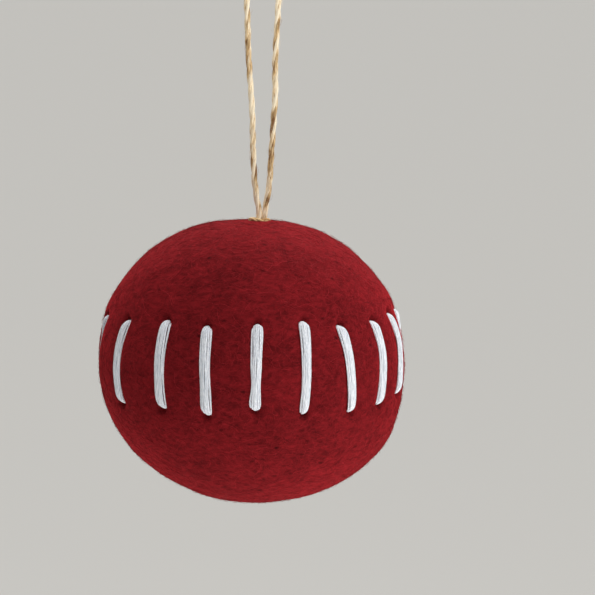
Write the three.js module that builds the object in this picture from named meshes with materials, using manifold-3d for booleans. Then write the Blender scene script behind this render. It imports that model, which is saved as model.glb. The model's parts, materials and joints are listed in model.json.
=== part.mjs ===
// Felt ornament: a felted wool ball with a row of yarn stitches round its middle, on a jute twine loop.
// Millimetres, +Z up. The origin is where a hook carries the loop. The front of the ball faces -Y.
import * as THREE from 'three';
import { mergeVertices } from 'three/addons/utils/BufferGeometryUtils.js';
import Module from 'manifold-3d';

const wasm = await Module();
wasm.setup();

const clearance = 0.3; // between pieces that touch

// Looks
const redFelt = { color: 0x7e161b, roughness: 0.95 };
const coreWool = { color: 0xd9d0bd, roughness: 0.95 };
const whiteYarn = { color: 0xe4e8ee, roughness: 0.85 };
const juteTwine = { color: 0xd8bd86, roughness: 0.9 };

// Ball
const ballWidth = 100;
const ballHeight = 92.8;
const ballFullness = 2.1; // exponent of the outline, where 2 is an ellipse
const ballAside = -3.6; // middle of the ball, seen from the twine
const ballSlump = 2.2; // how far the bottom has slumped to the right
const slumpStart = 4.6; // height above the middle where the slump begins
const feltThickness = 9;
const ballSegments = 40;
const ballRows = 20;
const coreSegments = 28;
const coreRows = 14;

// Stitches
const yarnRadius = 0.9; // where the yarn runs inside the felt
const stitchWidth = 3.7; // yarn spread flat on the surface
const stitchThickness = 1.5;
const stitchSeat = 0.25; // its middle below the felt's surface
const pitDepth = 1.3; // where the yarn has turned straight down
const runDepth = 3.2; // hidden runs below the felt's surface
const shoulderLength = 0.9; // from a stitch's end to the middle of its bend
const taperLength = 2.9; // from a stitch's end to its full width
const yarnSides = 6;
const runSteps = 4;
const stitchTop = 17; // upper ends above the ball's middle
const stitchBottom = -10;
const backStitchCount = 8;
const handSway = 0.8; // how unevenly the back stitches end
const topSway = 2; // radians of sway from one stitch to the next, which leave no pattern
const bottomSway = 3;
// Front stitches from left to right: turn of the top end from the front in degrees, turn of the
// bottom end, bow of the middle in degrees, then how far both ends lie above the usual heights
const frontStitches = [
  [-77.5, -88, 0, -0.8, 0],
  [-55, -57.3, -1.9, -0.6, -0.1],
  [-33.5, -34.3, -0.4, 0.8, 0.2],
  [-16, -16.1, 0.2, -0.3, -1],
  [3.2, 1.8, 0.2, 0.4, 0.9],
  [21.4, 19.9, 0.5, 1, -0.5],
  [37.3, 40.3, 0.8, -0.8, -1.3],
  [56, 56, 2.2, -0.5, -0.2],
  [72, 71, 2.6, 1, 1.8],
  [86.5, 88.5, 0, 0.4, 0],
];

// Twine
const twineWidth = 2;
const loopReach = 100; // from the ball to the inside of the loop's top
const loopBend = 6.2; // radius of the twine's middle over the hook
const twineSides = 8;
const twineSteps = 42;
const bendStep = 45; // degrees between the route's points over the hook
const knotRadius = 1.5; // where the legs are pinched together
const bightLength = 6;
const bightWidth = 2.8;
const bightHeight = 2.4;
const bightAside = -0.9;
const bightSink = 0.3; // middle of the bight below the felt's surface
const anchorRadius = 3.4;
const knotSegments = 12;
const knotRows = 8;
// Middle lines of the two legs, upwards: sideways place and height above the felt
const leftLeg = [
  [-1.6, 6.4], [-1.8, 7.9], [-2.4, 12.9], [-2.75, 19.5], [-2.95, 26], [-3.05, 32.7],
  [-3.35, 39.3], [-4.25, 52.5], [-4.9, 72.3], [-5.6, 83],
];
const rightLeg = [
  [1.55, 6.4], [1.8, 7.9], [2.5, 12.9], [2.9, 19.5], [3.4, 26], [3.8, 32.7],
  [4.3, 39.3], [4.4, 52.5], [5.5, 72.3], [5.9, 83],
];

const ornament = new THREE.Group();

function addPiece(name, geometry, look) {
  geometry.computeVertexNormals();
  const material = new THREE.MeshStandardMaterial({ ...look, metalness: 0 });
  const mesh = new THREE.Mesh(geometry, material);
  mesh.name = name;
  ornament.add(mesh);
}

// Solids for cutting and joining
function toSolid(geometry) {
  const bare = geometry.clone();
  bare.deleteAttribute('normal');
  bare.deleteAttribute('uv');
  const merged = mergeVertices(bare);
  const vertProperties = new Float32Array(merged.attributes.position.array);
  const triVerts = new Uint32Array(merged.index.array);
  return new wasm.Manifold(new wasm.Mesh({ numProp: 3, vertProperties, triVerts }));
}

function toGeometry(solid) {
  const mesh = solid.getMesh();
  const geometry = new THREE.BufferGeometry();
  geometry.setAttribute('position', new THREE.BufferAttribute(mesh.vertProperties, 3));
  geometry.setIndex(new THREE.BufferAttribute(mesh.triVerts, 1));
  return geometry;
}

// The ball's surface, an inset below it for the layers inside
function radiusAt(height, inset) {
  const share = Math.min(1, Math.abs(height) / (ballHeight / 2 - inset));
  return (ballWidth / 2 - inset) * (1 - share ** ballFullness) ** (1 / ballFullness);
}

function heightAt(radius, inset) {
  const share = Math.min(1, radius / (ballWidth / 2 - inset));
  return (ballHeight / 2 - inset) * (1 - share ** ballFullness) ** (1 / ballFullness);
}

const feltTop = -loopReach; // the felt right under the hook
const ballMiddle = feltTop - heightAt(Math.abs(ballAside), 0);

function slumpAt(height) {
  return ballSlump * (1 - THREE.MathUtils.smoothstep(height, -ballHeight / 2, slumpStart));
}

function ballPoint(turn, radius, height) {
  const x = ballAside + slumpAt(height) + radius * Math.sin(turn);
  return new THREE.Vector3(x, -radius * Math.cos(turn), ballMiddle + height);
}

function ballNormal(turn, radius, height) {
  const out = radius ** (ballFullness - 1) / (ballWidth / 2) ** ballFullness;
  const up = Math.sign(height) * Math.abs(height) ** (ballFullness - 1) / (ballHeight / 2) ** ballFullness;
  return new THREE.Vector3(out * Math.sin(turn), -out * Math.cos(turn), up).normalize();
}

function ballGeometry(inset, segments, rows) {
  const geometry = new THREE.SphereGeometry(1, segments, rows);
  geometry.rotateX(Math.PI / 2);
  const position = geometry.attributes.position;
  const vertex = new THREE.Vector3();
  for (let i = 0; i < position.count; i++) {
    vertex.fromBufferAttribute(position, i);
    const rise = Math.abs(vertex.z) ** (2 / ballFullness);
    const height = Math.sign(vertex.z) * rise * (ballHeight / 2 - inset);
    const point = ballPoint(Math.atan2(vertex.x, -vertex.y), radiusAt(height, inset), height);
    position.setXYZ(i, point.x, point.y, point.z);
  }
  return geometry;
}

// A closed skin over rings of points, each ring turning left about the way ahead
function loft(rings) {
  const sides = rings[0].length;
  const corners = rings.flat().flatMap((point) => point.toArray());
  const faces = [];
  for (let ring = 0; ring + 1 < rings.length; ring++) {
    for (let side = 0; side < sides; side++) {
      const a = ring * sides + side;
      const b = ring * sides + (side + 1) % sides;
      faces.push(a, b, b + sides, a, b + sides, a + sides);
    }
  }
  const last = (rings.length - 1) * sides;
  for (let side = 1; side + 1 < sides; side++) {
    faces.push(0, side + 1, side);
    faces.push(last, last + side, last + side + 1);
  }
  const geometry = new THREE.BufferGeometry();
  geometry.setAttribute('position', new THREE.Float32BufferAttribute(corners, 3));
  geometry.setIndex(faces);
  return geometry;
}

function ovalRing(middle, side, up, halfWidth, halfThickness, sides) {
  const ring = [];
  for (let i = 0; i < sides; i++) {
    const angle = (i + 0.5) * 2 * Math.PI / sides;
    const point = middle.clone().addScaledVector(side, halfWidth * Math.cos(angle));
    ring.push(point.addScaledVector(up, halfThickness * Math.sin(angle)));
  }
  return ring;
}

// An oval tube along stations, whose width lies along the first side and follows the bends
function sweep(stations, firstSide, sides, grow) {
  const side = firstSide.clone();
  const rings = stations.map((station, i) => {
    const before = stations[Math.max(0, i - 1)].point;
    const after = stations[Math.min(stations.length - 1, i + 1)].point;
    const arriving = station.point.clone().sub(before).normalize();
    const leaving = after.clone().sub(station.point).normalize();
    const ahead = arriving.add(leaving).normalize();
    side.addScaledVector(ahead, -ahead.dot(side)).normalize();
    const up = ahead.clone().cross(side);
    const end = i === 0 ? -grow : i === stations.length - 1 ? grow : 0;
    const middle = station.point.clone().addScaledVector(ahead, end);
    return ovalRing(middle, side, up, station.halfWidth + grow, station.halfThickness + grow, sides);
  });
  return loft(rings);
}

// Stitches
function allStitches() {
  const stitches = frontStitches.map(([topTurn, bottomTurn, bow, topRise, bottomRise]) => {
    return { topTurn, bottomTurn, bow, top: stitchTop + topRise, bottom: stitchBottom + bottomRise };
  });
  const first = stitches[0].topTurn + 360;
  const last = stitches[stitches.length - 1].topTurn;
  for (let i = 1; i <= backStitchCount; i++) {
    const turn = THREE.MathUtils.lerp(last, first, i / (backStitchCount + 1));
    const top = stitchTop + handSway * Math.sin(topSway * i);
    const bottom = stitchBottom + handSway * Math.cos(bottomSway * i);
    stitches.push({ topTurn: turn, bottomTurn: turn, bow: 0, top, bottom });
  }
  return stitches;
}

function insideFelt(turnDegrees, height, depth) {
  const turn = THREE.MathUtils.degToRad(turnDegrees);
  const radius = radiusAt(height, 0);
  return ballPoint(turn, radius, height).addScaledVector(ballNormal(turn, radius, height), -depth);
}

// One stitch: up out of the felt, down over the surface, in again and on to the next stitch's top
function stitchStations(stitch, next) {
  const stations = [];
  const length = stitch.top - stitch.bottom;
  const onStitch = (share, depth, halfWidth, halfThickness) => {
    const straight = THREE.MathUtils.lerp(stitch.topTurn, stitch.bottomTurn, share);
    const turn = straight + 4 * stitch.bow * share * (1 - share);
    const height = THREE.MathUtils.lerp(stitch.top, stitch.bottom, share);
    stations.push({ point: insideFelt(turn, height, depth), halfWidth, halfThickness });
  };
  const shoulder = shoulderLength / length;
  const taper = taperLength / length;
  const shoulderHalf = (stitchWidth / 2 + yarnRadius) / 2;
  onStitch(0, runDepth, yarnRadius, yarnRadius);
  onStitch(0, pitDepth, yarnRadius, yarnRadius);
  onStitch(shoulder, stitchSeat, shoulderHalf, stitchThickness / 2);
  onStitch(taper, stitchSeat, stitchWidth / 2, stitchThickness / 2);
  onStitch(0.5, stitchSeat, stitchWidth / 2, stitchThickness / 2);
  onStitch(1 - taper, stitchSeat, stitchWidth / 2, stitchThickness / 2);
  onStitch(1 - shoulder, stitchSeat, shoulderHalf, stitchThickness / 2);
  onStitch(1, pitDepth, yarnRadius, yarnRadius);
  onStitch(1, runDepth, yarnRadius, yarnRadius);
  const nextTurn = next.topTurn < stitch.topTurn ? next.topTurn + 360 : next.topTurn;
  const start = insideFelt(stitch.bottomTurn, stitch.bottom, runDepth);
  const finish = insideFelt(nextTurn, next.top, runDepth);
  const endShare = 1 - 2 * (yarnRadius + clearance) / start.distanceTo(finish);
  for (let i = 1; i <= runSteps; i++) {
    const share = endShare * i / runSteps;
    const turn = THREE.MathUtils.lerp(stitch.bottomTurn, nextTurn, share);
    const height = THREE.MathUtils.lerp(stitch.bottom, next.top, share);
    const point = insideFelt(turn, height, runDepth);
    stations.push({ point, halfWidth: yarnRadius, halfThickness: yarnRadius });
  }
  return stations;
}

const stitches = allStitches().map((stitch, i, row) => {
  const turn = THREE.MathUtils.degToRad(stitch.topTurn);
  const across = new THREE.Vector3(Math.cos(turn), Math.sin(turn), 0);
  return { stations: stitchStations(stitch, row[(i + 1) % row.length]), across };
});

// Twine, with heights above the felt
const knotHeight = bightHeight / 2 - bightSink + clearance + knotRadius; // the pinch lies on the bight

function twineAt(x, height) {
  return new THREE.Vector3(x, 0, feltTop + height);
}

function lump(radii, middle) {
  const geometry = new THREE.SphereGeometry(1, knotSegments, knotRows);
  geometry.scale(radii.x, radii.y, radii.z);
  geometry.translate(middle.x, middle.y, middle.z);
  return geometry;
}

function bightGeometry(grow) {
  const radii = new THREE.Vector3(bightLength / 2, bightWidth / 2, bightHeight / 2).addScalar(grow);
  return lump(radii, twineAt(bightAside, -bightSink));
}

function anchorGeometry(grow) {
  const radius = anchorRadius + grow;
  const depth = feltThickness + clearance + anchorRadius;
  return lump(new THREE.Vector3(radius, radius, radius), twineAt(0, -depth));
}

// The two tails lie side by side between the bight and the anchor knot
function tailsGeometry(grow) {
  const top = -bightSink - bightHeight / 2 - clearance;
  const bottom = -feltThickness;
  const stations = [top, bottom].map((height) => {
    return { point: twineAt(0, height), halfWidth: twineWidth, halfThickness: twineWidth / 2 };
  });
  return sweep(stations, new THREE.Vector3(1, 0, 0), twineSides, grow);
}

// Felt cover: the ball, hollow for the core, grooved for the yarn and pierced for the twine
function feltCover() {
  let felt = toSolid(ballGeometry(0, ballSegments, ballRows));
  felt = felt.subtract(toSolid(ballGeometry(feltThickness, coreSegments, coreRows)));
  for (const { stations, across } of stitches) {
    felt = felt.subtract(toSolid(sweep(stations, across, yarnSides, clearance)));
  }
  felt = felt.subtract(toSolid(bightGeometry(clearance)));
  felt = felt.subtract(toSolid(tailsGeometry(clearance)));
  felt = felt.subtract(toSolid(anchorGeometry(clearance)));
  return toGeometry(felt);
}

function woolCore() {
  const core = toSolid(ballGeometry(feltThickness + clearance, coreSegments, coreRows));
  return toGeometry(core.subtract(toSolid(anchorGeometry(clearance))));
}

addPiece('felt_cover', feltCover(), redFelt);
addPiece('wool_core', woolCore(), coreWool);
stitches.forEach(({ stations, across }, i) => {
  const name = `stitch_${String(i + 1).padStart(2, '0')}`;
  addPiece(name, sweep(stations, across, yarnSides, 0), whiteYarn);
});

// Hanging loop: up the left leg, over the hook and down the right leg
function loopGeometry() {
  const bendHeight = loopReach + twineWidth / 2 - loopBend;
  const route = leftLeg.map(([x, height]) => twineAt(x, height));
  for (let angle = 180; angle >= 0; angle -= bendStep) {
    const turn = THREE.MathUtils.degToRad(angle);
    route.push(twineAt(loopBend * Math.cos(turn), bendHeight + loopBend * Math.sin(turn)));
  }
  route.push(...rightLeg.map(([x, height]) => twineAt(x, height)).reverse());
  const section = new THREE.Shape(new THREE.EllipseCurve(0, 0, twineWidth / 2, twineWidth / 2)
    .getPoints(twineSides).slice(0, twineSides));
  const extrudePath = new THREE.CatmullRomCurve3(route);
  return new THREE.ExtrudeGeometry(section, { steps: twineSteps, bevelEnabled: false, extrudePath });
}

// Loop neck: the legs side by side, drawn together towards the pinch
function neckGeometry() {
  const bottom = knotHeight + knotRadius + clearance;
  const top = leftLeg[0][1] - clearance;
  const spread = (rightLeg[0][0] - leftLeg[0][0] + twineWidth) / 2;
  const stations = [
    { point: twineAt(0, bottom), halfWidth: knotRadius, halfThickness: twineWidth / 2 },
    { point: twineAt(0, top), halfWidth: spread, halfThickness: twineWidth / 2 },
  ];
  return sweep(stations, new THREE.Vector3(1, 0, 0), twineSides, 0);
}

function knotGeometry() {
  return lump(new THREE.Vector3(knotRadius, knotRadius, knotRadius), twineAt(0, knotHeight));
}

addPiece('hanging_loop', loopGeometry(), juteTwine);
addPiece('loop_neck', neckGeometry(), juteTwine);
addPiece('loop_knot', knotGeometry(), juteTwine);
addPiece('loop_bight', bightGeometry(0), juteTwine);
addPiece('loop_tails', tailsGeometry(0), juteTwine);
addPiece('anchor_knot', anchorGeometry(0), juteTwine);

export default ornament;
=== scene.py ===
# Felt ornament: a needle-felted wool ball with yarn stitches round its middle, hung on a jute twine loop.
# Sizes in the dictionaries are millimetres, and angles are degrees. +Z is up and the front faces -Y.
# A hook carries the loop at the origin.
import json
import math

import bmesh
import bpy
import numpy as np
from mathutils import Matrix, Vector, noise


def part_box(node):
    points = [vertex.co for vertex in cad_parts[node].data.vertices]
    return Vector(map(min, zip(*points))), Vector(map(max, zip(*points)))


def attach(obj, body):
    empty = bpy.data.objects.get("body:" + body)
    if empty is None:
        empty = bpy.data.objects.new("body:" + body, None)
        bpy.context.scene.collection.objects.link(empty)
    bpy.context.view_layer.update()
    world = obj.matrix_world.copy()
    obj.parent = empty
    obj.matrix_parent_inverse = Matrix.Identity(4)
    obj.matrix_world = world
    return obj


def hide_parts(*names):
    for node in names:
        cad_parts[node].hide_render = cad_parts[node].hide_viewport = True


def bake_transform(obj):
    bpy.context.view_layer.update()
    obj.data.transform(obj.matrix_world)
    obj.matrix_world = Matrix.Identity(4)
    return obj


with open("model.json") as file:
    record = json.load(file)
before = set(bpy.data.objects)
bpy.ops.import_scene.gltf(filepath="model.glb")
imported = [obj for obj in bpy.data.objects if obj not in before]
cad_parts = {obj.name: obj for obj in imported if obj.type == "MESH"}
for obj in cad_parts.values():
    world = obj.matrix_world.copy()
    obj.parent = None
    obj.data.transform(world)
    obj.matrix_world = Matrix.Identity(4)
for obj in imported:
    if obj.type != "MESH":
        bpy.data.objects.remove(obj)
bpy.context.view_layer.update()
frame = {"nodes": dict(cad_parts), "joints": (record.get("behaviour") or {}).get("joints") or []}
mm = 0.001
scene = bpy.context.scene
jointPlace = {joint["name"]: Vector(joint["pos_m"]) / mm for joint in frame["joints"]}
pinchHeight = jointPlace["loop_swing_side"].z  # where the legs bend as the ball swings
print("frame loaded:", len(frame["nodes"]), "nodes")


def addObject(name, data):
    added = bpy.data.objects.new(name, data)
    scene.collection.objects.link(added)
    return added


def hexColour(code):
    channels = [int(code[i:i + 2], 16) / 255 for i in (1, 3, 5)]
    linear = [c / 12.92 if c <= 0.04045 else ((c + 0.055) / 1.055) ** 2.4 for c in channels]
    return (*linear, 1)


# Gives a node's inputs their values and links
def setInputs(tree, node, inputs):
    for key, given in inputs.items():
        for value in given if isinstance(given, list) else [given]:
            if isinstance(value, bpy.types.Node):  # a node stands for its first output in use
                value = next(output for output in value.outputs if output.enabled)
            if isinstance(value, bpy.types.NodeSocket):
                tree.links.new(value, node.inputs[key])
            else:
                node.inputs[key].default_value = value


# A new node with its settings and links, and with a ramp's stops from left to right
def addNode(tree, kind, inputs={}, stops=(), **settings):
    node = tree.nodes.new(kind)
    for name, value in settings.items():
        setattr(node, name, value)
    for number, (position, colour) in enumerate(stops):
        ramp = node.color_ramp.elements
        stop = ramp[number] if number < len(ramp) else ramp.new(position)
        stop.position = position
        stop.color = hexColour(colour)
    setInputs(tree, node, inputs)
    return node


def newMaterial(name, constants):
    material = bpy.data.materials.new(name)
    material.use_nodes = True
    shader = material.node_tree.nodes["Principled BSDF"]
    setInputs(material.node_tree, shader, constants)
    return material, material.node_tree, shader


def newTree(name, sizes):
    tree = bpy.data.node_groups.new(name, "GeometryNodeTree")
    kinds = {float: "NodeSocketFloat", int: "NodeSocketInt", bool: "NodeSocketBool"}
    tree.interface.new_socket("Geometry", in_out="INPUT", socket_type="NodeSocketGeometry")
    tree.interface.new_socket("Geometry", in_out="OUTPUT", socket_type="NodeSocketGeometry")
    for label, kind in sizes.items():
        tree.interface.new_socket(label, in_out="INPUT", socket_type=kinds.get(kind, "NodeSocketMaterial"))
    return tree, tree.nodes.new("NodeGroupInput").outputs


# Ends a tree with tubes along its curves, joined to what else it makes
def endTree(tree, given, curves, radius, sides, others=()):
    section = addNode(tree, "GeometryNodeCurvePrimitiveCircle", {"Resolution": sides, "Radius": 1.0})
    tubes = addNode(tree, "GeometryNodeCurveToMesh", {
        "Curve": curves, "Profile Curve": section, "Scale": radius, "Fill Caps": True})
    smooth = addNode(tree, "GeometryNodeSetShadeSmooth", {"Geometry": tubes})
    joined = addNode(tree, "GeometryNodeJoinGeometry", {"Geometry": [smooth, *others]})
    realized = addNode(tree, "GeometryNodeRealizeInstances", {"Geometry": joined})
    coated = addNode(tree, "GeometryNodeSetMaterial", {"Geometry": realized, "Material": given["Material"]})
    addNode(tree, "NodeGroupOutput", {"Geometry": coated})
    return tree


# Runs a tree on a mesh and leaves a plain mesh object, with no modifier
def growPiece(name, mesh, tree, values):
    piece = addObject(name, mesh)
    modifier = piece.modifiers.new(name, "NODES")
    modifier.node_group = tree
    for socket in tree.interface.items_tree:
        if socket.name in values:
            modifier[socket.identifier] = values[socket.name]
    depsgraph = bpy.context.evaluated_depsgraph_get()
    grown = bpy.data.meshes.new_from_object(
        piece.evaluated_get(depsgraph), preserve_all_data_layers=True, depsgraph=depsgraph)
    piece.modifiers.remove(modifier)
    piece.data = grown
    grown.name = name
    print(name, len(grown.polygons), "faces")
    return piece


# Edges along each of several routes, given as lists of points
def routeMesh(name, routes):
    points, edges = [], []
    for route in routes:
        first = len(points)
        points.extend((np.asarray(route) * mm).tolist())
        edges.extend((first + i, first + i + 1) for i in range(len(route) - 1))
    mesh = bpy.data.meshes.new(name)
    mesh.from_pydata(points, edges, [])
    return mesh


# A smooth line through given points, centripetal so that close points make no loops
def smoothRoute(points, stepLength):
    points = np.asarray(points, float)
    ends = np.array([2 * points[0] - points[1], 2 * points[-1] - points[-2]])
    padded = np.vstack([ends[:1], points, ends[1:]])
    line = []
    for a, b, c, d in zip(padded, padded[1:], padded[2:], padded[3:]):
        knots = np.cumsum([0, *(np.linalg.norm(q - p) ** 0.5 for p, q in ((a, b), (b, c), (c, d)))])
        count = max(1, round(np.linalg.norm(c - b) / stepLength))
        t = np.linspace(knots[1], knots[2], count, endpoint=False)[:, None]
        ab = (a * (knots[1] - t) + b * t) / knots[1]
        bc = (b * (knots[2] - t) + c * (t - knots[1])) / (knots[2] - knots[1])
        cd = (c * (knots[3] - t) + d * (t - knots[2])) / (knots[3] - knots[2])
        abc = (ab * (knots[2] - t) + bc * t) / knots[2]
        bcd = (bc * (knots[3] - t) + cd * (t - knots[1])) / (knots[3] - knots[1])
        line.extend((abc * (knots[2] - t) + bcd * (t - knots[1])) / (knots[2] - knots[1]))
    return np.array([*line, points[-1]])


def smoothStep(low, high, value):
    share = np.clip((value - low) / (high - low), 0, 1)
    return share * share * (3 - 2 * share)


# Camera, in front of the ball and a little above it, as the photograph was taken
view = {
    "aim": (11.6, 0, -125.4),  # the middle of the picture
    "distance": 900,
    "elevation": 6,
    "pictureWidth": 195.2,  # what the picture takes in at the ball
    "sensorWidth": 36,
    "clipStart": 10,
}


def addCamera():
    camera = addObject("camera", bpy.data.cameras.new("camera"))
    tilt = math.radians(view["elevation"])
    back = Vector((0, -math.cos(tilt), math.sin(tilt)))
    camera.data.sensor_width = view["sensorWidth"]
    camera.data.lens = view["sensorWidth"] * view["distance"] / view["pictureWidth"]
    camera.data.clip_start = view["clipStart"] * mm
    camera.location = (Vector(view["aim"]) + back * view["distance"]) * mm
    camera.rotation_euler = (-back).to_track_quat("-Z", "Y").to_euler()
    scene.camera = camera


addCamera()
print("camera placed")


# Yarn and twine: plies wound round each other along each route
twist = {
    "strandShift": 0.38,  # turns between the starts of neighbouring strands
    "slubsPerTurn": 3.0,  # thicker places along a ply
    "slubNoise": (0.25, 0.75),  # the noise that makes the thinnest and the thickest place
}


def twistedPliesTree():
    tree, given = newTree("twistedPlies", {
        "Step": float, "Plies": int, "Ply Offset": float, "Ply Radius": float, "Pitch": float,
        "Unevenness": float, "Sides": int, "Material": None})
    route = addNode(tree, "GeometryNodeMeshToCurve", {"Mesh": given["Geometry"]})
    steps = addNode(tree, "GeometryNodeResampleCurve", {
        "Curve": route, "Length": given["Step"]}, mode="LENGTH")
    strandIndex = addNode(tree, "GeometryNodeInputIndex")
    strands = addNode(tree, "GeometryNodeStoreNamedAttribute", {
        "Geometry": steps, "Name": "strand", "Value": strandIndex}, domain="CURVE")
    plies = addNode(tree, "GeometryNodeDuplicateElements", {
        "Geometry": strands, "Amount": given["Plies"]}, domain="SPLINE")
    plyNumber = plies.outputs["Duplicate Index"]
    along = addNode(tree, "GeometryNodeSplineParameter").outputs["Length"]
    strandNumber = addNode(tree, "GeometryNodeInputNamedAttribute", {"Name": "strand"}, data_type="FLOAT")
    turns = addNode(tree, "ShaderNodeMath", {0: along, 1: given["Pitch"]}, operation="DIVIDE")
    plyShare = addNode(tree, "ShaderNodeMath", {0: plyNumber, 1: given["Plies"]}, operation="DIVIDE")
    strandStart = addNode(tree, "ShaderNodeMath", {
        0: strandNumber, 1: twist["strandShift"]}, operation="MULTIPLY")
    started = addNode(tree, "ShaderNodeMath", {0: plyShare, 1: strandStart}, operation="ADD")
    wound = addNode(tree, "ShaderNodeMath", {0: turns, 1: started}, operation="ADD")
    angle = addNode(tree, "ShaderNodeMath", {0: wound, 1: math.tau}, operation="MULTIPLY")
    tangent = addNode(tree, "GeometryNodeInputTangent")
    outward = addNode(tree, "ShaderNodeVectorRotate", {
        "Vector": addNode(tree, "GeometryNodeInputNormal"), "Axis": tangent, "Angle": angle})
    offset = addNode(tree, "ShaderNodeVectorMath", {
        0: outward, "Scale": given["Ply Offset"]}, operation="SCALE")
    windings = addNode(tree, "GeometryNodeSetPosition", {"Geometry": plies, "Offset": offset})
    numbered = addNode(tree, "GeometryNodeStoreNamedAttribute", {
        "Geometry": windings, "Name": "ply", "Value": plyShare}, domain="CURVE")
    slubPlace = addNode(tree, "ShaderNodeMath", {0: wound, 1: plyShare}, operation="ADD")
    slubs = addNode(tree, "ShaderNodeTexNoise", {
        "W": slubPlace, "Scale": twist["slubsPerTurn"]}, noise_dimensions="1D")
    thin, thick = twist["slubNoise"]
    swell = addNode(tree, "ShaderNodeMapRange", {
        "Value": slubs.outputs[0], "From Min": thin, "From Max": thick, "To Min": -1.0, "To Max": 1.0})
    grown = addNode(tree, "ShaderNodeMath", {
        0: swell, 1: given["Unevenness"], 2: 1.0}, operation="MULTIPLY_ADD")
    radius = addNode(tree, "ShaderNodeMath", {0: grown, 1: given["Ply Radius"]}, operation="MULTIPLY")
    return endTree(tree, given, numbered, radius, given["Sides"])


pliesTree = twistedPliesTree()


def layPlies(name, routes, look, material):
    return growPiece(name, routeMesh(name + "Route", routes), pliesTree, {
        "Step": look["step"] * mm, "Plies": look["plies"], "Ply Offset": look["plyOffset"] * mm,
        "Ply Radius": look["plyRadius"] * mm, "Pitch": look["pitch"] * mm,
        "Unevenness": look["unevenness"], "Sides": look["sides"], "Material": material})


# Felt, yarn and twine: fibres scattered on a surface that lie along it, dive in at their ends or stand off
matting = {
    "stretch": (0.45, 1.3),  # shares of the length, by chance
    "rise": (0.25, 1.0),  # shares of the lift, by chance
    "dive": 1.6,  # how far the ends of a lying fibre go down, as a share of its lift
    "root": 0.3,  # how deep a standing fibre starts, as a share of its lift
    "taper": 0.7,  # how much thinner the ends are
    "endPower": 4.0,  # the ends are shorter where this is higher
    "sides": 3,
}


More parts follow.
